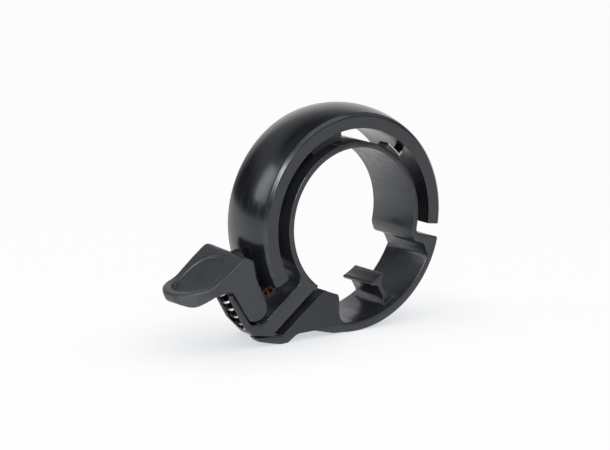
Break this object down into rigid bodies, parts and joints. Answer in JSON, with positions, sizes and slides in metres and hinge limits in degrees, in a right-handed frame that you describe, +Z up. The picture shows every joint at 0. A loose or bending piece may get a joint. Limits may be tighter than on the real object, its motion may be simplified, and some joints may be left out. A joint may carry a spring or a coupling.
{
  "type": "bicycle bell",
  "caption": "Ring-shaped bicycle bell: an open bell hoop round a split handlebar bracket with a cable channel, rung by a sprung thumb lever.",
  "frame": {"origin": "centre of the handlebar clamp, at the middle of the bracket's width", "axes": "+Y along the handlebar from the front face seen in the picture to the back, +Z up, +X away from the thumb pad"},
  "size_m": [0.0675, 0.0144, 0.0484],
  "materials": {
    "bracket_nylon": "satin moulded black nylon",
    "bell_alloy": "black anodised, turned and finely brushed round the ring",
    "lever_nylon": "lightly grained moulded black nylon",
    "support_rubber": "matt black rubber",
    "plain_steel": "bright plain steel",
    "spring_steel": "bright drawn wire",
    "striker_steel": "blackened steel",
    "nut_brass": "plain turned brass"
  },
  "bodies": {
    "bracket": {"clamp_bracket": "bracket_nylon", "bell_ring": "bell_alloy", "ring_saddle": "support_rubber", "bell_screw": "plain_steel", "ring_rest": "support_rubber", "ring_clip": "plain_steel", "hinge_pin": "plain_steel", "return_spring": "spring_steel", "clamp_screw": "plain_steel", "clamp_nut": "nut_brass"},
    "lever": {"thumb_lever": "lever_nylon", "striker": "striker_steel"}
  },
  "joints": [
    {"name": "lever_press", "type": "hinge", "parent": "bracket", "child": "lever", "pos_m": [-0.03, 0, -0.0105], "axis": [0, -1, 0], "range_deg": [-1.5, 11], "stiffness_Nm_per_rad": 0.02, "deforming": ["return_spring"]}
  ]
}
